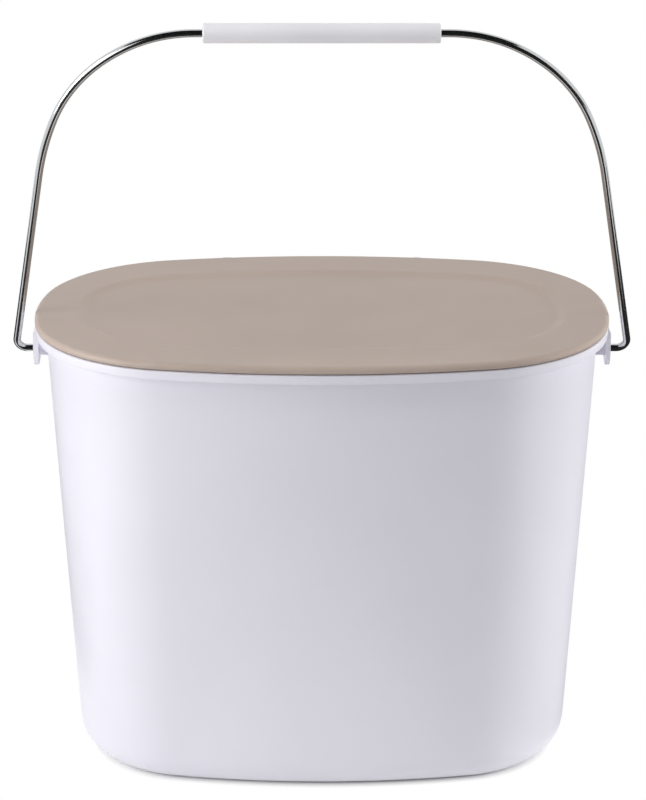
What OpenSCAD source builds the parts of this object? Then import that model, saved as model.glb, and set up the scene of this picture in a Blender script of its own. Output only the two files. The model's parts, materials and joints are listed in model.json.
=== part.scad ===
// Compost caddy: an oval, drafted plastic pail with a hinged lid, a wire bail and a roll grip.
// Millimetres. X runs across the pail, Y from front to back, Z up, and the pail stands on Z = 0.

/* [Lid] */
// Width of the lid from side to side
lid_w = 260; // [240:0.5:280]
// Depth of the lid from front to back
lid_d = 173; // [160:0.5:190]
// Radius of the four corners of the lid outline
corner_r = 70.5; // [62:0.5:74]
// Radius of the bowed front and back of the lid outline
bow_r = 379; // [300:1:600]
// Radius of the bowed left and right ends of the lid outline
end_r = 126; // [100:1:200]
// Thickness of the lid at its edge
lid_t = 3.4; // [2.8:0.1:4.5]
// Radius that rounds the top edge of the lid
lid_edge_r = 2.2; // [1:0.1:2.4]
// Width of the raised border at the left and right of the lid panel
border_w = 18.5; // [14:0.5:26]
// Width of the raised border at the front and back of the lid panel
border_d = 25; // [18:0.5:32]
// Width of the slope from that border down to the panel
panel_slope = 6; // [3:0.5:10]
// Depth of the lid panel below its border
panel_drop = 1.4; // [0.6:0.1:1.6]
// Height of the skirt that locates the lid in the pail
skirt_h = 8; // [5:0.5:10]
// Thickness of that skirt
skirt_t = 1.8; // [1.4:0.1:2.4]

/* [Pail] */
// Height of the pail to the top of its rim
pail_h = 205; // [180:1:230]
// Inset of the pail wall from the lid edge at the rim
wall_in = 4.8; // [4.4:0.1:6.5]
// Extra inset of the pail wall at the base, which is the draft
draft_in = 11.6; // [8:0.1:13]
// Thickness of the pail wall
wall_t = 2.4; // [1.8:0.1:3]
// Outer radius between the wall and the base
base_r = 14; // [9:0.5:16]
// Width of the ring the pail stands on
foot_w = 4; // [3:0.5:6]
// Height of the base panel above that ring
foot_h = 1.5; // [0.8:0.1:2]
// Inset of the rim from the lid edge
rim_in = 0.4; // [0.2:0.1:1]
// Height of the lip that turns down from the rim
rim_h = 4.2; // [3.6:0.1:6]
// Thickness of the rim and its lip
rim_t = 1.8; // [1.4:0.1:2.2]
// Radius that rounds the outer top edge of the rim
rim_r = 0.8; // [0.4:0.1:1.2]

/* [Ears] */
// Distance from one ear face to the other
ear_span = 262; // [256:0.5:268]
// Thickness of the ear plate
ear_t = 2.4; // [2:0.1:3]
// Thickness of the plate at its lower tip
ear_tip_t = 1.8; // [1.4:0.1:2.4]
// Width of the ear plate, front to back
ear_w = 15.6; // [12:0.2:20]
// Distance of the bail axis below the top of the rim
ear_drop = 15.1; // [12:0.1:22]
// Width of the web that ties the plate to the wall
web_w = 8; // [5:0.5:12]

/* [Bail] */
// Diameter of the bail wire
wire_d = 3.5; // [3:0.1:4]
// Distance of each bail leg outside its ear, measured at the bail axis
leg_out = 8.6; // [7:0.1:12]
// Angle by which each leg leans inward
leg_angle = 9.75; // [8.6:0.05:10.4]
// Height of the top of the bail above its axis
bail_h = 167; // [160:0.5:176]
// Radius of the bend between the ear and the leg
foot_bend_r = 4.5; // [4:0.1:6]
// Radius of the slow bend in the upper leg
leg_bend_r = 142; // [130:1:160]
// Radius of the shoulder bend
shoulder_r = 70.2; // [64:0.2:76]
// Radius of the bend beside the grip
top_bend_r = 62.5; // [56:0.5:76]
// Angle where the bend beside the grip ends
top_turn = 26; // [16:0.5:32]
// Angle where the shoulder bend ends
shoulder_turn = 67.8; // [64:0.2:72]
// Angle at which the bail stands forward of upright
bail_lean = 20; // [18:0.5:26]

/* [Grip] */
// Length of the grip
grip_l = 100; // [90:0.5:104]
// Outside diameter of the grip
grip_d = 8.5; // [7.5:0.1:12]

/* [Hinge] */
// Distance from the middle of the lid to each hinge
hinge_x = 38; // [30:0.5:50]
// Distance of the hinge axis behind the lid edge
hinge_out = 4.5; // [4.2:0.1:6]
// Distance of the hinge axis below the underside of the lid
hinge_drop = 4; // [4:0.1:5]
// Radius of the hinge knuckles
knuckle_r = 3.5; // [3:0.1:3.6]
// Width of the knuckle on the lid
knuckle_w = 12; // [9:0.5:16]
// Thickness of each cheek on the pail
cheek_t = 4; // [3:0.5:5]
// Diameter of the hinge pin
pin_d = 3; // [2.5:0.1:3.4]
// Height of the stop on each cheek above the hinge axis
stop_up = 2.5; // [1.5:0.1:2.6]

/* [Clearances] */
// Gap between the lid and the rim
seat_gap = 0.4; // [0.2:0.1:0.5]
// Gap between the lid skirt and the inside of the rim
skirt_gap = 1.2; // [0.8:0.1:2]
// Gap on each side of the knuckle
side_gap = 0.3; // [0.2:0.05:0.5]
// Radial running clearance of a pin or wire in its hole
run_gap = 0.08; // [0.03:0.01:0.1]

/* [Part] */
// The sub-part to build

/* [Hidden] */
$fn = 96;

WHITE = [0.93, 0.93, 0.95];
TAUPE = [0.72, 0.66, 0.61];
CHROME = [0.80, 0.81, 0.83];
STEEL = [0.62, 0.63, 0.65];

// Steps along each arc of the outline, and around each moulded radius
end_steps = 8;
corner_steps = 18;
bow_steps = 14;
edge_steps = 4;
base_steps = 7;
wall_steps = 3;
slope_steps = 4;

// Half sizes and the centres of the arcs of the outline: bow arcs, end arcs and corner arcs
half_w = lid_w / 2;
half_d = lid_d / 2;
bow_y = half_d - bow_r;
end_x = half_w - end_r;
arc_gap = norm([end_x, bow_y]);
arc_reach = bow_r - corner_r;
end_reach = end_r - corner_r;
arc_along = (arc_reach * arc_reach - end_reach * end_reach + arc_gap * arc_gap) / (2 * arc_gap);
arc_aside = sqrt(arc_reach * arc_reach - arc_along * arc_along);
arc_dir = [end_x, -bow_y] / arc_gap;
corner_c = [0, bow_y] + arc_dir * arc_along + [arc_dir[1], -arc_dir[0]] * arc_aside;
turn_end = atan2(corner_c[1], corner_c[0] - end_x);
turn_bow = atan2(corner_c[1] - bow_y, corner_c[0]);

// Heights
lid_z = pail_h + seat_gap;
lid_top = lid_z + lid_t;
rim_z = pail_h - rim_h;
rim_under = pail_h - rim_t;
floor_z = foot_h + wall_t;
bail_z = pail_h - ear_drop;

// Insets of the inside of the rim and of the lid skirt, and the softened edges by them
inside_top = wall_in + wall_t;
skirt_in = inside_top + skirt_gap;
rim_fillet = 0.8;
skirt_soft = 0.4;
skirt_lead = 0.6;
lid_soft = 0.4;

// Hinge axis, and the profile of the cheeks and their stops about it
hinge_y = half_d + hinge_out;
hinge_z = lid_z - hinge_drop;
cheek_x = knuckle_w / 2 + side_gap + cheek_t / 2;
pin_l = knuckle_w + 2 * side_gap + 2 * cheek_t;
foot_low = 14;
cheek_low = 0.5;
cheek_out = 1;
cheek_sink = 0.3;
horn_out = 9.3;
horn_start = 4.5;
horn_low = 0.6;
brace_low = 2.5;

// Profile of the arms that carry the lid knuckles
arm_in = 6;
arm_gap = 0.8;
arm_step = 1.2;
arm_flat = 1;
arm_back = 1.6;
arm_round = 0.4;
arm_reach = 0.9;

// How far a cutting shape runs past what it cuts
open_end = 1;

// Wire
wire_r = wire_d / 2;
wire_lap = 0.2;
wire_step = 0.01;
stub_skin = 1;
web_skin = 0.9;
web_sink = 0.4;
web_r = 1.5;
ledge_t = 2;
ledge_rise = 0.5;
ledge_r = 3;
leg_x = ear_span / 2 + leg_out;
foot_bend_turn = 90 + leg_angle;
foot_tangent = foot_bend_r * tan(foot_bend_turn / 2);
leg_turn = 90 - leg_angle;
function bend_dx(r, from, to) = r * (sin(to) - sin(from));
function bend_dy(r, from, to) = r * (cos(from) - cos(to));
leg_top_y = bail_h - bend_dy(top_bend_r, 0, top_turn)
    - bend_dy(shoulder_r, top_turn, shoulder_turn)
    - bend_dy(leg_bend_r, shoulder_turn, leg_turn);
leg_top_x = leg_x - leg_top_y * tan(leg_angle);
leg_bend_x = leg_top_x - bend_dx(leg_bend_r, shoulder_turn, leg_turn);
shoulder_x = leg_bend_x - bend_dx(shoulder_r, top_turn, shoulder_turn);
straight_x = shoulder_x - bend_dx(top_bend_r, 0, top_turn);
ear_face = ear_span / 2;
stub_end = half_w - wall_inset(bail_z) + stub_skin;

// Inset of the outside of the wall from the lid outline at a height
function wall_inset(z) = wall_in + draft_in * (1 - z / pail_h);

// Points of one arc, without its last point
function arc(c, r, from, to, steps) =
    [for (i = [0 : steps - 1]) let (t = from + (to - from) * i / steps) c + r * [cos(t), sin(t)]];

// The oval outline, moved inward by an inset, as an anticlockwise loop
function outline(inset) = concat(
    arc([end_x, 0], end_r - inset, -turn_end, turn_end, end_steps),
    arc(corner_c, corner_r - inset, turn_end, turn_bow, corner_steps),
    arc([0, bow_y], bow_r - inset, turn_bow, 180 - turn_bow, bow_steps),
    arc([-corner_c[0], corner_c[1]], corner_r - inset, 180 - turn_bow, 180 - turn_end, corner_steps),
    arc([-end_x, 0], end_r - inset, 180 - turn_end, 180 + turn_end, end_steps),
    arc(-corner_c, corner_r - inset, 180 + turn_end, 180 + turn_bow, corner_steps),
    arc([0, -bow_y], bow_r - inset, 180 + turn_bow, 360 - turn_bow, bow_steps),
    arc([corner_c[0], -corner_c[1]], corner_r - inset, 360 - turn_bow, 360 - turn_end, corner_steps)
);

// How far back the outline lies at a place across the pail
function back_y(x, inset) = sqrt(pow(bow_r - inset, 2) - x * x) + bow_y;

// A closed skin through a list of [inset, height] rings, capped at its first and last ring. A third
// value in a ring scales its depth, for a ring that isn't as deep as the outline at its inset.
module loft(rings) {
    loops = [for (r = rings) let (squeeze = len(r) > 2 ? r[2] : 1)
        [for (p = outline(r[0])) [p[0], p[1] * squeeze, r[1]]]];
    n = len(loops[0]);
    last = len(rings) - 1;
    sides = [for (k = [0 : last - 1]) for (i = [0 : n - 1]) let (j = (i + 1) % n)
        [k * n + i, (k + 1) * n + i, (k + 1) * n + j, k * n + j]];
    first_cap = [for (i = [0 : n - 1]) i];
    last_cap = [for (i = [n - 1 : -1 : 0]) last * n + i];
    polyhedron([for (l = loops) for (p = l) p], concat([first_cap], sides, [last_cap]));
}

// Rings of a radius that runs from the wall into the base, from low to high
function base_rings(r, extra, z0) =
    [for (i = [0 : base_steps]) let (t = 90 - 90 * i / base_steps, z = r * (1 - sin(t)))
        [wall_inset(z) + extra + r * (1 - cos(t)), z0 + z]];

// The pail: a drafted wall on a rounded base, with a rim that turns out and down in a lip
module pail_shell() {
    inner_r = base_r - wall_t;
    wall_top = rim_under - rim_fillet;
    outside = [for (i = [1 : wall_steps]) let (z = base_r + (wall_top - base_r) * i / wall_steps)
        [wall_inset(z), z]];
    inner = base_rings(inner_r, wall_t, floor_z);
    lip_in = rim_in + rim_t;
    lip_soft = rim_t / 4;
    rim_turn = rim_r * (1 - cos(45));
    loft(concat(
        [[wall_inset(0) + base_r + foot_w + foot_h, foot_h], [wall_inset(0) + base_r + foot_w, 0]],
        base_rings(base_r, 0, 0),
        outside,
        [[wall_inset(rim_under) - rim_fillet, rim_under], [lip_in, rim_under],
         [lip_in, rim_z + lip_soft], [lip_in - lip_soft, rim_z],
         [rim_in + lip_soft, rim_z], [rim_in, rim_z + lip_soft],
         [rim_in, pail_h - rim_r], [rim_in + rim_turn, pail_h - rim_turn],
         [rim_in + rim_r, pail_h], [inside_top - lip_soft, pail_h], [inside_top, pail_h - lip_soft]],
        [for (i = [base_steps : -1 : 0]) inner[i]]
    ));
}

// A plate cut from a side profile, given as [y, z] points, and centred on a place across the pail
module side_plate(x, t, points) {
    translate([x - t / 2, 0, 0]) rotate([90, 0, 90]) linear_extrude(height = t) polygon(points);
}

// A round bar along X
module cross_bar(x, y, z, r, l) {
    translate([x, y, z]) rotate([0, 90, 0]) cylinder(r = r, h = l, center = true);
}

// One cheek of a hinge, with its foot in the wall and a stop for the open lid
module cheek(x) {
    seat_y = back_y(abs(x) + cheek_t / 2, wall_inset(hinge_z - foot_low)) - wall_t * cheek_sink;
    cheek_top = hinge_z + knuckle_r - cheek_low;
    side_plate(x, cheek_t, [
        [seat_y, cheek_top],
        [hinge_y + cheek_out, cheek_top],
        [hinge_y + horn_start, hinge_z + stop_up],
        [hinge_y + horn_out, hinge_z + stop_up],
        [hinge_y + horn_out, hinge_z - horn_low],
        [hinge_y + cheek_out, hinge_z - knuckle_r - brace_low],
        [seat_y, hinge_z - foot_low]
    ]);
    cross_bar(x, hinge_y, hinge_z, knuckle_r, cheek_t);
}

// An ear on the right-hand side: a ledge from the rim that turns down into a rounded plate, which
// carries the bail, and a web that ties the plate to the wall
module ear() {
    plate_in = ear_face - ear_t;
    web_x = half_w - wall_inset(bail_z) - wall_t * web_sink;
    web_low = bail_z - wire_r - web_skin;
    tip_z = bail_z - ear_w / 2;
    top_z = rim_z + ledge_rise;
    web_l = ear_face - ear_t / 2 - web_x;
    web_y = web_w / 2 - web_r;
    intersection() {
        translate([0, ear_w / 2, 0]) rotate([90, 0, 0]) linear_extrude(height = ear_w) polygon(concat(
            [[ear_face, tip_z - open_end]],
            arc([ear_face - ledge_r, top_z - ledge_r], ledge_r, 0, 90, edge_steps),
            [[ear_face - ledge_r, top_z], [web_x, top_z], [web_x, top_z - ledge_t],
             [plate_in, top_z - ledge_t], [plate_in, web_low], [ear_face - ear_tip_t, tip_z - open_end]]
        ));
        union() {
            cross_bar((web_x + ear_face) / 2, 0, bail_z, ear_w / 2, 2 * (ear_face - web_x));
            translate([web_x - open_end, -ear_w / 2, bail_z])
                cube([ear_face - web_x + 2 * open_end, ear_w, top_z - bail_z + open_end]);
        }
    }
    side_plate(web_x + web_l / 2, web_l, concat(
        [[web_w / 2, top_z - ledge_t / 2], [-web_w / 2, top_z - ledge_t / 2]],
        arc([-web_y, web_low + web_r], web_r, 180, 270, edge_steps),
        arc([web_y, web_low + web_r], web_r, 270, 360, edge_steps),
        [[web_w / 2, web_low + web_r]]
    ));
}

module pail() {
    color(WHITE) difference() {
        union() {
            pail_shell();
            for (side = [0, 1]) mirror([side, 0, 0]) {
                ear();
                for (s = [-1, 1]) cheek(hinge_x + s * cheek_x);
            }
        }
        for (side = [0, 1]) mirror([side, 0, 0]) {
            translate([stub_end, 0, bail_z]) rotate([0, 90, 0])
                cylinder(r = wire_r + run_gap, h = ear_face + open_end - stub_end);
            cross_bar(hinge_x, hinge_y, hinge_z, pin_d / 2, pin_l + 2 * open_end);
        }
    }
}

module lid_shell() {
    slope_rings = [for (i = [0 : slope_steps]) let (t = i / slope_steps, run = panel_slope * t)
        [border_w + run, lid_top - panel_drop * (1 - cos(180 * t)) / 2,
         (half_d - border_d - run) / (half_d - border_w - run)]];
    edge_rings = [for (i = [0 : edge_steps]) let (t = 90 * i / edge_steps)
        [lid_edge_r * (1 - cos(t)), lid_top - lid_edge_r * (1 - sin(t))]];
    loft(concat(
        [[skirt_in + skirt_t, lid_z], [skirt_in + skirt_t, lid_z - skirt_h + skirt_soft],
         [skirt_in + skirt_t - skirt_soft, lid_z - skirt_h], [skirt_in + skirt_lead, lid_z - skirt_h],
         [skirt_in, lid_z - skirt_h + skirt_lead], [skirt_in, lid_z], [lid_soft, lid_z],
         [0, lid_z + lid_soft]],
        edge_rings,
        slope_rings
    ));
}

// The arm and knuckle of one hinge
module lid_knuckle(x) {
    root_y = back_y(abs(x) + knuckle_w / 2, 0);
    clear_y = back_y(abs(x) - knuckle_w / 2, rim_in) + arm_gap;
    arm_z = lid_top - arm_step;
    side_plate(x, knuckle_w, [
        [root_y - arm_in, lid_z],
        [root_y - arm_in, arm_z],
        [root_y - arm_flat, arm_z],
        [hinge_y + arm_back, hinge_z + knuckle_r - arm_round],
        [hinge_y, hinge_z],
        [hinge_y - knuckle_r * arm_reach, hinge_z],
        [clear_y, lid_z]
    ]);
    cross_bar(x, hinge_y, hinge_z, knuckle_r, knuckle_w);
}

module lid() {
    color(TAUPE) difference() {
        union() {
            lid_shell();
            for (side = [-1, 1]) lid_knuckle(side * hinge_x);
        }
        for (side = [-1, 1])
            cross_bar(side * hinge_x, hinge_y, hinge_z, pin_d / 2 + run_gap, knuckle_w + 2 * open_end);
    }
}

module hinge_pin(x) {
    cross_bar(x, hinge_y, hinge_z, pin_d / 2, pin_l);
}

module hinge_pin_left() {
    color(STEEL) hinge_pin(-hinge_x);
}

module hinge_pin_right() {
    color(STEEL) hinge_pin(hinge_x);
}

// A straight piece of wire in the plane of the bail, from a point, at an angle from the X direction.
// It is a hair thinner than the bends and runs into them, so that each joint closes.
module wire_bar(from, angle, l) {
    translate([from[0], from[1], 0]) rotate([0, 0, angle]) translate([-wire_lap, 0, 0])
        rotate([0, 90, 0]) cylinder(r = wire_r - wire_step, h = l + 2 * wire_lap);
}

// A bend in the wire, about a centre, from one direction of its radius to another
module wire_bend(c, r, from, to, thickness) {
    translate([c[0], c[1], 0]) rotate([0, 0, from])
        rotate_extrude(angle = to - from) translate([r, 0]) circle(r = thickness);
}

// One side of the bail, drawn in the XY plane with its axis at Y = 0
module bail_side() {
    foot_x = leg_x - foot_tangent;
    leg_low = [leg_x, 0] + [-sin(leg_angle), cos(leg_angle)] * foot_tangent;
    leg_high = [leg_top_x, leg_top_y];
    shoulder_y = leg_top_y + bend_dy(leg_bend_r, shoulder_turn, leg_turn);
    top_y = shoulder_y + bend_dy(shoulder_r, top_turn, shoulder_turn);
    lap_turn = wire_lap / shoulder_r * 180 / PI;
    translate([stub_end + run_gap, 0, 0]) rotate([0, 90, 0])
        cylinder(r = wire_r - wire_step, h = foot_x - stub_end - run_gap + wire_lap);
    wire_bend([foot_x, foot_bend_r], foot_bend_r, -90, leg_angle, wire_r);
    wire_bar(leg_low, 90 + leg_angle, norm(leg_high - leg_low));
    wire_bend(leg_high - leg_bend_r * [cos(leg_angle), sin(leg_angle)],
        leg_bend_r, leg_angle, 90 - shoulder_turn, wire_r);
    wire_bend([leg_bend_x, shoulder_y] - shoulder_r * [sin(shoulder_turn), cos(shoulder_turn)],
        shoulder_r, 90 - shoulder_turn - lap_turn, 90 - top_turn + lap_turn, wire_r - wire_step);
    wire_bend([shoulder_x, top_y] - top_bend_r * [sin(top_turn), cos(top_turn)],
        top_bend_r, 90 - top_turn, 90, wire_r);
}

// Stands what is drawn in the plane of the bail on its axis, at the lean it has at rest
module on_bail_axis() {
    translate([0, 0, bail_z]) rotate([90 + bail_lean, 0, 0]) children();
}

module bail_wire() {
    color(CHROME) on_bail_axis() {
        for (side = [0, 1]) mirror([side, 0, 0]) bail_side();
        wire_bar([-straight_x, bail_h], 0, 2 * straight_x);
    }
}

module grip() {
    end_r_soft = (grip_d / 2 - wire_r) / 3;
    bore = wire_r + run_gap;
    half_l = grip_l / 2;
    color(WHITE) on_bail_axis() translate([0, bail_h, 0]) rotate([0, 90, 0])
        rotate_extrude() polygon([
            [bore, -half_l],
            [grip_d / 2 - end_r_soft, -half_l],
            [grip_d / 2, -half_l + end_r_soft],
            [grip_d / 2, half_l - end_r_soft],
            [grip_d / 2 - end_r_soft, half_l],
            [bore, half_l]
        ]);
}

pail();
lid();
hinge_pin_left();
hinge_pin_right();
bail_wire();
grip();
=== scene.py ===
import json
import math

import bmesh
import bpy
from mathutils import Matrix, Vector


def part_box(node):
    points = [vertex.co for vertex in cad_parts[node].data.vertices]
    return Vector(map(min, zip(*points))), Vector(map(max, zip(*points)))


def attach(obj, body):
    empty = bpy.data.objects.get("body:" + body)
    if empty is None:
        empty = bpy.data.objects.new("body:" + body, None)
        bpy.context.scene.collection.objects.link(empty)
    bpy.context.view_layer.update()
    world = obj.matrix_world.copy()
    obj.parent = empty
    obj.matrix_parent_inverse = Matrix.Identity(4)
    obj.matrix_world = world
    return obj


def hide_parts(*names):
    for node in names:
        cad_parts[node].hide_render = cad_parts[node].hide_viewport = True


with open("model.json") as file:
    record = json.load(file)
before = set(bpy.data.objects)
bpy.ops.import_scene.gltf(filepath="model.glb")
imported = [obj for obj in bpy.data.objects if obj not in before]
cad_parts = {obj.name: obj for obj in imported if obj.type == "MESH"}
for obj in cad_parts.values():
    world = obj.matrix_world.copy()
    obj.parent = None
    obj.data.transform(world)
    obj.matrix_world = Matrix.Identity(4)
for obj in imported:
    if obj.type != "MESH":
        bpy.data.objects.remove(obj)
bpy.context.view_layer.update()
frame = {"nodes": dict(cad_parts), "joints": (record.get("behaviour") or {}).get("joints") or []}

MM = 0.001

# Compost caddy: an oval, drafted plastic pail with a hinged lid, a wire bail and a roll grip.
# X runs across the pail, Y from front to back, Z up, and the pail stands on Z = 0.

# ---------------------------------------------------------------- sizes that the frame holds
joint_at = {j["name"]: Vector(j["pos_m"]) for j in frame["joints"]}
lid_low, lid_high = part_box("lid")
pail_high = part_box("pail")[1]
wire_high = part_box("bail_wire")[1]
grip_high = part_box("grip")[1]

half_w = lid_high.x
half_d = -lid_low.y
lid_top = lid_high.z
pail_h = pail_high.z
ear_face = pail_high.x
grip_half = grip_high.x
hinge = joint_at["lid_hinge"]
bail_axis = joint_at["bail_swing"]
to_grip = joint_at["grip_roll"] - bail_axis
bail_h = math.hypot(to_grip.y, to_grip.z)
bail_lean = math.atan2(-to_grip.y, to_grip.z)

# ---------------------------------------------------------------- sizes of each piece
# Outline of the lid, from above. Every inset below is measured inward from it.
corner_r = 70.5 * MM      # the four corners
bow_r = 379 * MM          # the bowed front and back
end_r = 126 * MM          # the bowed ends

# Pail
wall_in = 4.8 * MM        # inset of the wall at the rim
draft_in = 11.6 * MM      # further inset of the wall at the base
wall_t = 2.4 * MM
base_r = 14 * MM          # outer radius between the wall and the base
foot_w = 4 * MM           # width of the ring that it stands on
foot_h = 1.5 * MM         # height of the base panel above that ring
rim_in = 0.4 * MM         # inset of the rim
rim_h = 4.2 * MM          # height of the lip that turns down from it
rim_t = 1.8 * MM
rim_r = 0.8 * MM          # radius of its outer top edge
rim_fillet = 0.8 * MM     # radius in the groove behind the lip
lip_soft = 0.5 * MM       # radius of the lip's lower edges and the rim's inner edge
rim_z = pail_h - rim_h
rim_under = pail_h - rim_t
inside_top = wall_in + wall_t
WALL_STEPS = 6
BASE_STEPS = 12

# Lid
lid_t = 3.4 * MM
lid_edge_r = 2.2 * MM     # radius of the upper edge
lid_soft = 1.15 * MM      # radius of the lower edge
edge_flat = 0.6 * MM      # flat between the upper edge and the border
border_w = 18.5 * MM      # width of the raised border at the ends
border_d = 25 * MM        # width of the raised border at the front and back
panel_slope = 6 * MM      # width of the slope from the border to the panel
panel_drop = 1.4 * MM     # depth of the panel
skirt_h = 8 * MM
skirt_t = 1.8 * MM
skirt_gap = 1.2 * MM      # between the skirt and the inside of the rim
skirt_soft = 0.4 * MM     # bevel of the skirt's inner edge
skirt_lead = 0.6 * MM     # bevel that leads the skirt into the pail
skirt_in = inside_top + skirt_gap
lid_under = lid_top - lid_t
SLOPE_STEPS = 14

# Ears
ear_t = 2.4 * MM
ear_tip_t = 1.8 * MM      # thickness of the plate at its tip
ear_r = 7.8 * MM          # radius of the tip, and half the width of the plate
ear_tip_half = 0.6 * MM   # half width of the lowest row of the tip
ear_soft = 0.5 * MM       # bevel of the edges
ledge_rise = 0.5 * MM     # top of the ledge above the lower edge of the rim
ledge_r = 3 * MM          # outer radius where the ledge turns down
ledge_t = 2 * MM
web_w = 8 * MM
web_skin = 0.9 * MM       # cover of the web below the wire
web_r = 1.5 * MM          # radius of the web's lower corners
web_soft = 0.1 * MM       # bevel of the web's edges
web_sink = 0.4            # share of the wall that the web and the ledge sink into
EAR_STEPS = 14

# Bail and grip
wire_r = 1.75 * MM
leg_angle = math.radians(9.75)        # how far each leg leans inward
foot_bend_r = 4.5 * MM                # bend between the ear and the leg
leg_bend_r = 142 * MM                 # slow bend in the upper leg
shoulder_r = 70.2 * MM
top_bend_r = 62.5 * MM                # bend beside the grip
top_turn = math.radians(26)           # heading where the bend beside the grip ends
shoulder_turn = math.radians(67.8)    # heading where the shoulder bend ends
foot_turn = math.pi / 2 + leg_angle
foot_tangent = foot_bend_r * math.tan(foot_turn / 2)
leg_x = wire_high.x - wire_r - foot_bend_r + foot_tangent
run_gap = 0.08 * MM                   # between the wire and the bore of the grip
grip_r = 4.25 * MM
grip_end_r = 0.9 * MM                 # radius of the grip's outer ends
bore_lead_l = 0.3 * MM                # bevel of the bore, along the grip
bore_lead_r = 0.4 * MM                # bevel of the bore, outward
BEND_STEPS = 16
FOOT_STEPS = 12
WIRE_SIDES = 24
GRIP_SIDES = 64
GRIP_END_STEPS = 6

# Hinges
hinge_x = 38 * MM         # from the middle of the lid to each hinge
knuckle_r = 3.5 * MM
knuckle_w = 12 * MM
cheek_t = 4 * MM
side_gap = 0.3 * MM       # on each side of the knuckle
cheek_x = knuckle_w / 2 + side_gap + cheek_t / 2
foot_low = 14 * MM        # foot of the cheek below the axis
cheek_low = 0.5 * MM      # top of the cheek below the top of the knuckle
cheek_out = 1 * MM        # top and brace of the cheek behind the axis
cheek_sink = 0.3          # share of the wall that the foot sinks into
cheek_r = 1 * MM          # radius of the bends in the top of the cheek
horn_start = 4.5 * MM     # where the stop for the open lid starts, behind the axis
horn_out = 9.3 * MM       # where it ends
horn_up = 2.5 * MM        # its top above the axis
horn_low = 0.6 * MM       # its underside below the axis
horn_top_r = 0.6 * MM
horn_under_r = 0.8 * MM
brace_low = 2.5 * MM      # brace below the lowest point of the knuckle
brace_r = 2 * MM
arm_in = 6 * MM           # root of the knuckle's arm, inside the edge of the lid
arm_sink = 0.1 * MM       # how far the arm sinks into the lid
arm_step = 1.2 * MM       # top of the arm below the top of the lid
arm_flat = 1 * MM         # where that top ends, inside the edge of the lid
arm_r = 1.5 * MM          # radius of the bend there
arm_gap = 0.8 * MM        # between the arm and the rim
barrel_from, barrel_to = 60, -180     # the part of the knuckle that is round, in degrees
BARREL_STEPS = 16


# ---------------------------------------------------------------- materials
def srgb(r, g, b):
    """A colour written as 0-255 sRGB, as the linear colour that a shader takes."""
    def one(c):
        c = c / 255
        return c / 12.92 if c <= 0.04045 else ((c + 0.055) / 1.055) ** 2.4
    return (one(r), one(g), one(b), 1.0)


def add_node(tree, kind, **inputs):
    """A new node with values on its inputs, where _ in a name stands for a space."""
    node = tree.nodes.new(kind)
    for socket, value in inputs.items():
        node.inputs[socket.replace("_", " ")].default_value = value
    return node


def new_material(name):
    """A new material, with its node tree and its shader."""
    mat = bpy.data.materials.new(name)
    mat.use_nodes = True
    return mat, mat.node_tree, mat.node_tree.nodes["Principled BSDF"]


def noise(tree, scale, detail):
    """Noise that is fixed to the object."""
    place = add_node(tree, "ShaderNodeTexCoord")
    texture = add_node(tree, "ShaderNodeTexNoise", Scale=scale, Detail=detail)
    tree.links.new(place.outputs["Object"], texture.inputs["Vector"])
    return texture.outputs["Fac"]


def link_tint(tree, shader, pattern, colours, stops):
    """A base colour that drifts with a pattern from one colour to another."""
    ramp = add_node(tree, "ShaderNodeValToRGB")
    for element, colour, stop in zip(ramp.color_ramp.elements, colours, stops):
        element.color = colour
        element.position = stop
    tree.links.new(pattern, ramp.inputs["Fac"])
    tree.links.new(ramp.outputs["Color"], shader.inputs["Base Color"])


def link_roughness(tree, shader, pattern, low, high):
    """A roughness that drifts with a pattern."""
    span = add_node(tree, "ShaderNodeMapRange", To_Min=low, To_Max=high)
    tree.links.new(pattern, span.inputs["Value"])
    tree.links.new(span.outputs["Result"], shader.inputs["Roughness"])


def link_bump(tree, shader, pattern, strength, depth):
    """A fine relief that follows a pattern."""
    bump = add_node(tree, "ShaderNodeBump", Strength=strength, Distance=depth)
    tree.links.new(pattern, bump.inputs["Height"])
    tree.links.new(bump.outputs["Normal"], shader.inputs["Normal"])


def plastic(name, colours, cloud_scale, roughness, grain, grain_scale):
    """Moulded plastic: a slow drift between two close colours, an uneven sheen and a fine grain."""
    mat, tree, shader = new_material(name)
    link_tint(tree, shader, noise(tree, cloud_scale, detail=3), colours, stops=(0.35, 0.65))
    link_roughness(tree, shader, noise(tree, scale=60, detail=4), *roughness)
    link_bump(tree, shader, noise(tree, grain_scale, detail=2), grain, depth=0.1 * MM)
    return mat


def metal(name, colours, roughness, grain, grain_scale):
    """Drawn steel: cloudy spots that are a little lighter and duller, and a very fine grain."""
    mat, tree, shader = new_material(name)
    shader.inputs["Metallic"].default_value = 1
    spots = noise(tree, scale=90, detail=4)
    link_tint(tree, shader, spots, colours, stops=(0, 1))
    link_roughness(tree, shader, spots, *roughness)
    link_bump(tree, shader, noise(tree, grain_scale, detail=2), grain, depth=0.02 * MM)
    return mat


pail_white = plastic("pail_white", (srgb(232, 230, 239), srgb(236, 234, 243)), cloud_scale=9,
                     roughness=(0.34, 0.42), grain=0.12, grain_scale=900)
lid_taupe = plastic("lid_taupe", (srgb(182, 166, 155), srgb(187, 170, 159)), cloud_scale=14,
                    roughness=(0.42, 0.52), grain=0.2, grain_scale=1100)
grip_white = plastic("grip_white", (srgb(232, 231, 236), srgb(238, 237, 241)), cloud_scale=20,
                     roughness=(0.25, 0.33), grain=0.08, grain_scale=900)
chrome = metal("bail_chrome", ((0.54, 0.55, 0.56, 1), (0.62, 0.63, 0.64, 1)),
               roughness=(0.08, 0.16), grain=0.1, grain_scale=700)
steel = metal("pin_steel", ((0.45, 0.45, 0.46, 1), (0.60, 0.60, 0.61, 1)),
              roughness=(0.25, 0.4), grain=0.4, grain_scale=1500)


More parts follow.
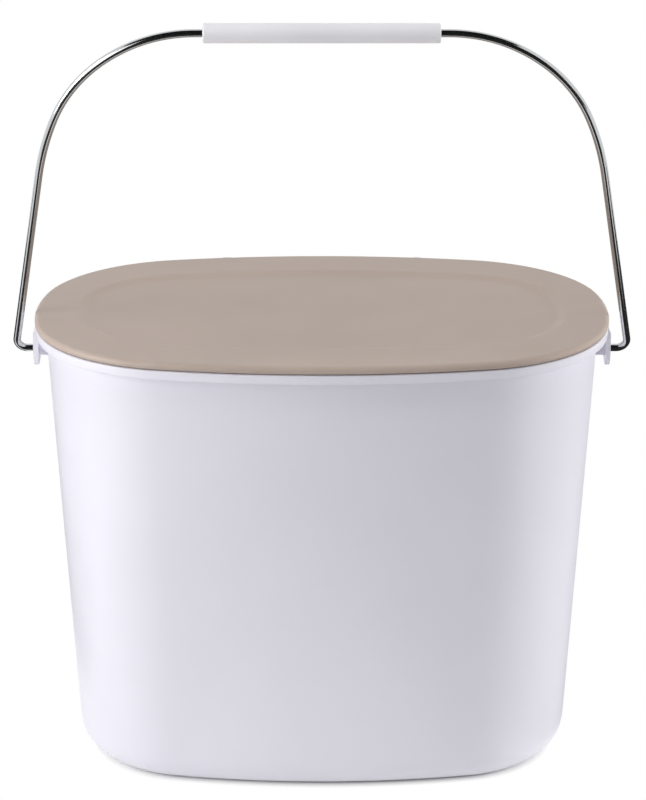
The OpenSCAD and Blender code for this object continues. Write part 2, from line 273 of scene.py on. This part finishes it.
# ---------------------------------------------------------------- outline
bow_y = half_d - bow_r
end_x = half_w - end_r
END_STEPS, CORNER_STEPS, BOW_STEPS = 16, 30, 28


def corner_centre():
    """Where the corner arc touches both the bow arc and the end arc."""
    gap = math.hypot(end_x, bow_y)
    reach_bow, reach_end = bow_r - corner_r, end_r - corner_r
    along = (reach_bow ** 2 - reach_end ** 2 + gap ** 2) / (2 * gap)
    aside = math.sqrt(reach_bow ** 2 - along ** 2)
    run, rise = end_x / gap, -bow_y / gap
    return Vector((run * along + rise * aside, bow_y + rise * along - run * aside))


corner_c = corner_centre()
turn_end = math.atan2(corner_c.y, corner_c.x - end_x)
turn_bow = math.atan2(corner_c.y - bow_y, corner_c.x)


def arc(cx, cy, r, start, stop, steps):
    """Points of an arc, without its last one."""
    turns = [start + (stop - start) * i / steps for i in range(steps)]
    return [(cx + r * math.cos(t), cy + r * math.sin(t)) for t in turns]


def outline(inset):
    """The oval outline of the lid, moved inward, as an anticlockwise loop."""
    x, y = corner_c
    half = (
        arc(end_x, 0, end_r - inset, -turn_end, turn_end, END_STEPS)
        + arc(x, y, corner_r - inset, turn_end, turn_bow, CORNER_STEPS)
        + arc(0, bow_y, bow_r - inset, turn_bow, math.pi - turn_bow, BOW_STEPS)
        + arc(-x, y, corner_r - inset, math.pi - turn_bow, math.pi - turn_end, CORNER_STEPS)
    )
    return half + [(-px, -py) for px, py in half]


def wall_inset(z):
    """Inset of the outside of the wall from the lid outline, at a height."""
    return wall_in + draft_in * (1 - z / pail_h)


def back_y(x, inset):
    """How far back the outline lies at a place across the pail."""
    return math.sqrt((bow_r - inset) ** 2 - x * x) + bow_y


# ---------------------------------------------------------------- mesh helpers
def piece(name, bm, material, sharp=35):
    """A finished object from a bmesh, smooth-shaded apart from edges sharper than an angle."""
    bmesh.ops.recalc_face_normals(bm, faces=bm.faces)
    for face in bm.faces:
        face.smooth = True
    for edge in bm.edges:
        if len(edge.link_faces) == 2 and edge.calc_face_angle() > math.radians(sharp):
            edge.smooth = False
    mesh = bpy.data.meshes.new(name)
    bm.to_mesh(mesh)
    bm.free()
    obj = bpy.data.objects.new(name, mesh)
    bpy.context.scene.collection.objects.link(obj)
    mesh.materials.append(material)
    return obj


def bands(bm, loops):
    """Faces between each loop of vertices and the next."""
    for near, far in zip(loops, loops[1:]):
        for i in range(len(near)):
            j = (i + 1) % len(near)
            bm.faces.new((near[i], near[j], far[j], far[i]))


def capped(bm, loops):
    """Bands between loops of vertices, and a cap on the first and the last one."""
    bands(bm, loops)
    bm.faces.new(loops[0])
    bm.faces.new(loops[-1])


def loft(rings):
    """A closed skin through [inset, height] rings, capped at its first and last ring. A third value
    scales the depth of a ring that isn't as deep as the outline at its inset."""
    bm = bmesh.new()
    loops = []
    for inset, z, *squeeze in rings:
        depth = squeeze[0] if squeeze else 1
        loops.append([bm.verts.new((x, y * depth, z)) for x, y in outline(inset)])
    capped(bm, loops)
    return bm


def turned(inset, z, r, start, stop, steps=6):
    """[inset, height] points round a small radius: 0 degrees faces the middle of the part, 90 up."""
    turns = [math.radians(start + (stop - start) * i / steps) for i in range(steps + 1)]
    return [(inset + r * math.cos(t), z + r * math.sin(t)) for t in turns]


def rounded(points, steps=4):
    """An outline with rounded corners: each point is (a, b), or (a, b, r) where its corner has a
    radius. A corner that is nearly straight keeps its point."""
    nearly_straight = math.radians(88)
    out = []
    for i, (a, b, *r) in enumerate(points):
        here = Vector((a, b))
        before, after = Vector(points[i - 1][:2]), Vector(points[(i + 1) % len(points)][:2])
        u, v = (before - here).normalized(), (after - here).normalized()
        half_corner = u.angle(v) / 2
        if not r or half_corner > nearly_straight:
            out.append(here)
            continue
        reach = r[0] / math.tan(half_corner)
        start, stop = here + u * reach, here + v * reach
        for k in range(steps + 1):
            t = k / steps
            out.append(start * (1 - t) ** 2 + here * 2 * t * (1 - t) + stop * t * t)
    return out


def plate(name, x0, x1, points, material, soften=0.4 * MM):
    """A moulded plate between two places across the pail, from a rounded [y, z] side profile."""
    bm = bmesh.new()
    ring = rounded(points)
    capped(bm, [[bm.verts.new((x, p.x, p.y)) for p in ring] for x in (x0, x1)])
    bmesh.ops.recalc_face_normals(bm, faces=bm.faces)
    rim = [e for e in bm.edges if len(e.link_faces[0].verts) != len(e.link_faces[1].verts)]
    bmesh.ops.bevel(bm, geom=rim, offset=soften, segments=3, affect="EDGES", profile=0.5)
    return piece(name, bm, material)


# ---------------------------------------------------------------- pail
def base_rings(r, extra, z0):
    """Rings of the radius between the wall and the base, from low to high."""
    rings = []
    for i in range(BASE_STEPS + 1):
        t = math.pi / 2 * (1 - i / BASE_STEPS)
        z = r * (1 - math.sin(t))
        rings.append((wall_inset(z) + extra + r * (1 - math.cos(t)), z0 + z))
    return rings


def build_pail():
    """The wall and base, and the rim that turns out and down in a lip with a groove behind it."""
    foot_in = wall_inset(0) + base_r + foot_w
    lip_in = rim_in + rim_t
    wall_top = rim_under - rim_fillet
    wall_heights = [base_r + (wall_top - base_r) * i / WALL_STEPS for i in range(1, WALL_STEPS)]
    rings = (
        [(foot_in + foot_h, foot_h), (foot_in, 0)]
        + base_rings(base_r, 0, 0)
        + [(wall_inset(z), z) for z in wall_heights]
        + turned(wall_inset(wall_top) - rim_fillet, wall_top, rim_fillet, 0, 90)
        + turned(lip_in + rim_fillet, wall_top, rim_fillet, 90, 180)
        + turned(lip_in - lip_soft, rim_z + lip_soft, lip_soft, 0, -90)
        + turned(rim_in + lip_soft, rim_z + lip_soft, lip_soft, 270, 180)
        + turned(rim_in + rim_r, pail_h - rim_r, rim_r, 180, 90)
        + turned(inside_top - lip_soft, pail_h - lip_soft, lip_soft, 90, 0)
        + base_rings(base_r - wall_t, wall_t, foot_h + wall_t)[::-1]
    )
    pail = piece("pail_shell", loft(rings), pail_white, sharp=50)
    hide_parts("pail")
    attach(pail, "pail_body")


def ear_rows(root_x, top_z):
    """The outer and inner side of an ear on the right, from its tip up, over the turn and in along
    the ledge: each row is its place across the pail, its height and its half width."""
    tip_z = bail_axis.z - ear_r
    outer, inner = [], []
    for i in range(EAR_STEPS + 1):
        turn = math.pi / 2 * (1 - i / EAR_STEPS)
        z = bail_axis.z - ear_r * math.sin(turn)
        half = ear_r * math.cos(turn) if i else ear_tip_half
        thickness = ear_tip_t + (ear_t - ear_tip_t) * (z - tip_z) / ear_r
        outer.append((ear_face, z, half))
        inner.append((ear_face - thickness, z, half))
    under_r = ledge_r - ledge_t
    for rows, face_x, top, r in ((outer, ear_face, top_z, ledge_r),
                                 (inner, ear_face - ear_t, top_z - ledge_t, under_r)):
        rows.extend((x, z, ear_r) for x, z in turned(face_x - r, top - r, r, 0, 90))
        rows.append((root_x, top, ear_r))
    return outer, inner


def build_ear(side, name):
    """A ledge from the rim that turns down into a plate with a round tip, and a web behind it."""
    top_z = rim_z + ledge_rise
    root_x = half_w - wall_inset(bail_axis.z) - wall_t * web_sink
    outer, inner = ear_rows(root_x, top_z)
    profile = outer + inner[::-1]
    bm = bmesh.new()
    front = [bm.verts.new((side * x, -half, z)) for x, z, half in profile]
    back = [bm.verts.new((side * x, half, z)) for x, z, half in profile]
    bands(bm, [front, back])
    for row in (front, back):
        for i in range(EAR_STEPS):
            bm.faces.new((row[i], row[i + 1], row[-2 - i], row[-1 - i]))
        bm.faces.new(row[EAR_STEPS:len(profile) - EAR_STEPS])
    ear = piece(name + "_plate", bm, pail_white)
    soften = ear.modifiers.new("soft edges", "BEVEL")
    soften.width = ear_soft
    soften.segments = 3
    soften.angle_limit = math.radians(40)
    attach(ear, "pail_body")

    web_low = bail_axis.z - wire_r - web_skin
    web_top = top_z - ledge_t / 2
    half = web_w / 2
    near_x, far_x = sorted((side * root_x, side * (ear_face - ear_t / 2)))
    web = plate(name + "_web", near_x, far_x, [
        (-half, web_low, web_r), (half, web_low, web_r), (half, web_top), (-half, web_top),
    ], pail_white, soften=web_soft)
    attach(web, "pail_body")


def build_cheeks():
    """The four cheeks that hold the hinge pins, each with a stop for the open lid."""
    y, z = hinge.y, hinge.z
    cheek_top = z + knuckle_r - cheek_low
    for side, place in ((-1, "left"), (1, "right")):
        for hand in (-1, 1):
            end = "outer" if hand == side else "inner"
            x = side * hinge_x + hand * cheek_x
            seat = back_y(abs(x) + cheek_t / 2, wall_inset(z - foot_low)) - wall_t * cheek_sink
            cheek = plate(f"hinge_cheek_{place}_{end}", x - cheek_t / 2, x + cheek_t / 2, [
                (seat, cheek_top),
                (y + cheek_out, cheek_top, cheek_r),
                (y + horn_start, z + horn_up, cheek_r),
                (y + horn_out, z + horn_up, horn_top_r),
                (y + horn_out, z - horn_low, horn_under_r),
                (y + cheek_out, z - knuckle_r - brace_low, brace_r),
                (seat, z - foot_low),
            ], pail_white)
            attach(cheek, "pail_body")


# ---------------------------------------------------------------- lid
def panel_ring(run):
    """A ring of the slope into the panel, by how far in from the raised border it lies."""
    share = min(max(run / panel_slope, 0), 1)
    drop = panel_drop * (1 - math.cos(math.pi * share)) / 2
    squeeze = (half_d - border_d - run) / (half_d - border_w - run)
    return (border_w + run, lid_top - drop, squeeze)


def build_lid():
    """The skirt, the rounded edge, the raised border and the shallow panel."""
    skirt_low = lid_under - skirt_h
    skirt_inner = skirt_in + skirt_t
    rings = (
        [(skirt_inner, lid_under), (skirt_inner, skirt_low + skirt_soft),
         (skirt_inner - skirt_soft, skirt_low), (skirt_in + skirt_lead, skirt_low),
         (skirt_in, skirt_low + skirt_lead), (skirt_in, lid_under)]
        + turned(lid_soft, lid_under + lid_soft, lid_soft, 270, 180, steps=8)
        + turned(lid_edge_r, lid_top - lid_edge_r, lid_edge_r, 180, 90, steps=10)
        + [(lid_edge_r + edge_flat, lid_top)]
        + [panel_ring(panel_slope * i / SLOPE_STEPS) for i in range(-1, SLOPE_STEPS + 2)]
    )
    lid = piece("lid_plate", loft(rings), lid_taupe, sharp=60)
    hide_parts("lid")
    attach(lid, "lid_body")


def build_knuckles():
    """The arm and knuckle of each hinge, moulded on the lid's back edge."""
    edge_y = back_y(hinge_x + knuckle_w / 2, 0)
    clear_y = back_y(hinge_x - knuckle_w / 2, rim_in) + arm_gap
    arm_top = lid_top - arm_step
    arm_low = lid_under + arm_sink
    barrel = turned(hinge.y, hinge.z, knuckle_r, barrel_from, barrel_to, BARREL_STEPS)
    for side, name in ((-1, "left"), (1, "right")):
        x = side * hinge_x
        knuckle = plate("lid_knuckle_" + name, x - knuckle_w / 2, x + knuckle_w / 2, [
            (edge_y - arm_in, arm_low),
            (edge_y - arm_in, arm_top),
            (edge_y - arm_flat, arm_top, arm_r),
            *barrel,
            (clear_y, arm_low),
        ], lid_taupe)
        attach(knuckle, "lid_body")


def finish_pins():
    """The hinge pins stay as the CAD has them, in plain steel."""
    for pin in ("hinge_pin_left", "hinge_pin_right"):
        frame["nodes"][pin].data.materials.clear()
        frame["nodes"][pin].data.materials.append(steel)


# ---------------------------------------------------------------- bail and grip
def bend_step(r, start, stop):
    """How far a bend runs [outward, up] between two headings, as angles below the horizontal."""
    return Vector((r * (math.sin(stop) - math.sin(start)), r * (math.cos(stop) - math.cos(start))))


def bail_points():
    """The right half of the wire's centre line in its own plane, from the ear to the middle."""
    leg_turn = math.pi / 2 - leg_angle
    bends = (
        (top_bend_r, 0, top_turn),
        (shoulder_r, top_turn, shoulder_turn),
        (leg_bend_r, shoulder_turn, leg_turn),
    )
    outward, up = sum((bend_step(*bend) for bend in bends), Vector((0, 0)))
    leg_top_h = bail_h + up
    leg_top_x = leg_x - leg_top_h * math.tan(leg_angle)
    here = Vector((leg_top_x - outward, bail_h))
    points = []
    for r, start, stop in bends:
        for i in range(BEND_STEPS):
            points.append(here + bend_step(r, start, start + (stop - start) * i / BEND_STEPS))
        here = here + bend_step(r, start, stop)
    points.append(here)
    foot_centre = Vector((leg_x - foot_tangent, foot_bend_r))
    for i in range(FOOT_STEPS + 1):
        t = leg_angle - foot_turn * i / FOOT_STEPS
        points.append(foot_centre + foot_bend_r * Vector((math.cos(t), math.sin(t))))
    points.append(Vector((ear_face - ear_t, 0)))
    return points[::-1]


def on_bail(x, h):
    """A point in the plane of the bail, stood on its axis at the lean that it has at rest."""
    return bail_axis + Vector((x, -h * math.sin(bail_lean), h * math.cos(bail_lean)))


def round_turns(sides):
    """The angles of the corners of a ring."""
    return [2 * math.pi * k / sides for k in range(sides)]


def build_bail():
    """A round wire along the centre line, from ear to ear."""
    half = bail_points()
    path = [on_bail(p.x, p.y) for p in half] + [on_bail(-p.x, p.y) for p in half[::-1]]
    out_of_plane = Vector((0, -math.cos(bail_lean), -math.sin(bail_lean)))
    bm = bmesh.new()
    rings = []
    for i, p in enumerate(path):
        along = (path[min(i + 1, len(path) - 1)] - path[max(i - 1, 0)]).normalized()
        across = along.cross(out_of_plane).normalized()
        rings.append([bm.verts.new(p + wire_r * (math.cos(a) * across + math.sin(a) * out_of_plane))
                      for a in round_turns(WIRE_SIDES)])
    capped(bm, rings)
    wire = piece("bail", bm, chrome)
    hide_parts("bail_wire")
    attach(wire, "bail_body")


def build_grip():
    """A plain tube with rounded ends, turned about the straight top of the wire."""
    bore = wire_r + run_gap
    left_end = [(-grip_half + bore_lead_l, bore), (-grip_half, bore + bore_lead_r)]
    for i in range(GRIP_END_STEPS + 1):
        t = math.pi / 2 * i / GRIP_END_STEPS
        left_end.append((-grip_half + grip_end_r * (1 - math.cos(t)),
                         grip_r - grip_end_r * (1 - math.sin(t))))
    profile = left_end + [(-x, r) for x, r in left_end[::-1]]
    centre = on_bail(0, bail_h)
    bm = bmesh.new()
    rings = [[bm.verts.new(centre + Vector((x, r * math.cos(a), r * math.sin(a))))
              for a in round_turns(GRIP_SIDES)] for x, r in profile]
    bands(bm, rings + rings[:1])
    grip = piece("grip_tube", bm, grip_white, sharp=50)
    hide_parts("grip")
    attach(grip, "grip_body")


# ---------------------------------------------------------------- stage, light and camera
white_in = 21 * MM        # inset where the floor becomes plain white
shade_in = 27 * MM        # inset inside which it only shows its light and shadow
floor_drop = 0.2 * MM     # floor below the pail, so that their faces don't touch
floor_reach = 60          # size of the floor, in outlines of the lid
card_z = 1 * MM           # height of the cards that lie on the table
card_grey = 0.02
studio_y = -1.9           # the dark end of the studio, behind the camera
studio_z = 1.7            # height of its upright card


def seen_directly(tree):
    """1 for what the camera sees itself, in a reflection or through a clear piece, and 0 for light."""
    path = add_node(tree, "ShaderNodeLightPath")
    mirror = add_node(tree, "ShaderNodeMath")
    clear = add_node(tree, "ShaderNodeMath")
    mirror.operation = clear.operation = "MAXIMUM"
    tree.links.new(path.outputs["Is Camera Ray"], mirror.inputs[0])
    tree.links.new(path.outputs["Is Glossy Ray"], mirror.inputs[1])
    tree.links.new(mirror.outputs[0], clear.inputs[0])
    tree.links.new(path.outputs["Is Transmission Ray"], clear.inputs[1])
    return clear.outputs[0]


def build_world(level):
    """A plain soft sky for light, which shows as white."""
    world = bpy.data.worlds.new("studio")
    world.use_nodes = True
    bpy.context.scene.world = world
    tree = world.node_tree
    tree.nodes.clear()
    lit = add_node(tree, "ShaderNodeBackground", Color=(1.0, 0.99, 1.0, 1), Strength=level)
    plain = add_node(tree, "ShaderNodeBackground", Color=(1, 1, 1, 1), Strength=1)
    mix = add_node(tree, "ShaderNodeMixShader")
    tree.links.new(seen_directly(tree), mix.inputs["Fac"])
    tree.links.new(lit.outputs[0], mix.inputs[1])
    tree.links.new(plain.outputs[0], mix.inputs[2])
    out = add_node(tree, "ShaderNodeOutputWorld")
    tree.links.new(mix.outputs[0], out.inputs["Surface"])


def lamp(name, azimuth, height, distance, aim_z, size, power, mirrored=True):
    """A soft box at an angle round from the front, to the right, that faces the object."""
    light = bpy.data.lights.new(name, "AREA")
    light.shape = "RECTANGLE"
    light.size, light.size_y = size
    light.energy = power
    obj = bpy.data.objects.new(name, light)
    bpy.context.scene.collection.objects.link(obj)
    turn = math.radians(azimuth)
    obj.location = (distance * math.sin(turn), -distance * math.cos(turn), height)
    aim = Vector((0, 0, aim_z)) - obj.location
    obj.rotation_euler = aim.to_track_quat("-Z", "Y").to_euler()
    obj.visible_glossy = mirrored


def build_lamps():
    """Two soft boxes on the left and one on the right that model the wall, and one above for the lid."""
    lamp("left_softbox", azimuth=-68, height=0.40, distance=0.95, aim_z=0.15,
         size=(0.36, 0.65), power=4.75)
    lamp("left_fill", azimuth=-44, height=0.40, distance=1.2, aim_z=0.15,
         size=(0.4, 0.7), power=1.85)
    lamp("right_softbox", azimuth=93, height=0.30, distance=1.29, aim_z=0.12,
         size=(0.5, 0.6), power=10.5, mirrored=False)
    lamp("top_softbox", azimuth=0, height=1.3, distance=0.28, aim_z=0.2,
         size=(0.7, 0.7), power=6.1, mirrored=False)


def card(name, xs, near, far):
    """A dark card that shows only in reflections, as a dark studio does in chrome. It spans xs across
    and runs from one [y, z] edge to the other."""
    left, right = xs
    bm = bmesh.new()
    corners = ((left, *near), (right, *near), (right, *far), (left, *far))
    bm.faces.new([bm.verts.new(corner) for corner in corners])
    mat, _tree, shader = new_material(name)
    shader.inputs["Base Color"].default_value = (card_grey, card_grey, card_grey, 1)
    shader.inputs["Roughness"].default_value = 0.9
    sheet = piece(name, bm, mat)
    sheet.visible_camera = sheet.visible_diffuse = sheet.visible_shadow = False


def build_cards():
    """Painted dark reflections in the chrome and in the pail's sheen, from cards that only reflections
    see: the dark end of the studio, and sheets on the white table round the caddy: before it, below
    the legs of the bail, and on both sides toward the back."""
    card("front_flag", (-3, 3), (studio_y, 0), (studio_y, studio_z))
    card("upper_flag", (-2, 2), (studio_y, studio_z), (0.2, 2.4))
    # These sheets paint dark reflections only: the table stays white to the camera and to the light.
    card("dark_reflection_front", (-2, 2), (studio_y, card_z), (-0.45, card_z))
    card("dark_reflection_near", (-0.5, 0.5), (-0.45, card_z), (-0.25, card_z))
    for side in (-1, 1):
        card("dark_reflection_legs", (side * 0.07, side * 0.34), (-0.25, card_z), (-0.09, card_z))
    card("dark_reflection_left", (-0.75, -0.17), (0, card_z), (0.6, card_z))
    card("dark_reflection_right", (0.12, 0.75), (-0.12, card_z), (0.6, card_z))


def build_floor():
    """A white floor that keeps the shadow under the turn of the base, and shows as plain white from
    there outward. It fades from one to the other."""
    bm = bmesh.new()
    plain = bm.verts.layers.float.new("plain_white")
    rings = [[bm.verts.new((x * spread, y * spread, 0)) for x, y in outline(inset)]
             for inset, spread in ((shade_in, 1), (white_in, 1), (white_in, floor_reach))]
    for ring in rings[1:]:
        for v in ring:
            v[plain] = 1
    bm.faces.new(rings[0])
    bands(bm, rings)

    mat, tree, shader = new_material("floor")
    shader.inputs["Base Color"].default_value = (0.95, 0.95, 0.95, 1)
    shader.inputs["Roughness"].default_value = 0.9
    shader.inputs["Specular IOR Level"].default_value = 0.1
    white = add_node(tree, "ShaderNodeEmission")
    fade = add_node(tree, "ShaderNodeAttribute")
    fade.attribute_name = "plain_white"
    share = add_node(tree, "ShaderNodeMath")
    share.operation = "MULTIPLY"
    mix = add_node(tree, "ShaderNodeMixShader")
    tree.links.new(fade.outputs["Fac"], share.inputs[0])
    tree.links.new(seen_directly(tree), share.inputs[1])
    tree.links.new(share.outputs[0], mix.inputs["Fac"])
    tree.links.new(shader.outputs[0], mix.inputs[1])
    tree.links.new(white.outputs[0], mix.inputs[2])
    tree.links.new(mix.outputs[0], tree.nodes["Material Output"].inputs["Surface"])
    floor = piece("floor", bm, mat)
    floor.location.z = -floor_drop


def build_camera():
    """The photograph's view: from the front and a little above."""
    tilt = math.radians(19)
    distance = 1.3
    target = Vector((0.5 * MM, 0, 164.5 * MM))
    focal_px = 2830       # focal length in pixels of the photograph
    photo_h_px = 800
    camera = bpy.data.cameras.new("camera")
    camera.sensor_width = 36
    camera.lens = focal_px / photo_h_px * camera.sensor_width
    obj = bpy.data.objects.new("camera", camera)
    bpy.context.scene.collection.objects.link(obj)
    obj.location = target + distance * Vector((0, -math.cos(tilt), math.sin(tilt)))
    obj.rotation_euler = (math.pi / 2 - tilt, 0, 0)
    bpy.context.scene.camera = obj


# ---------------------------------------------------------------- the caddy, and its picture
build_pail()
build_ear(1, "ear_right")
build_ear(-1, "ear_left")
build_cheeks()
build_lid()
build_knuckles()
finish_pins()
build_bail()
build_grip()

build_world(0.18)
build_lamps()
build_cards()
build_floor()
build_camera()

bpy.context.scene.view_settings.view_transform = "Standard"
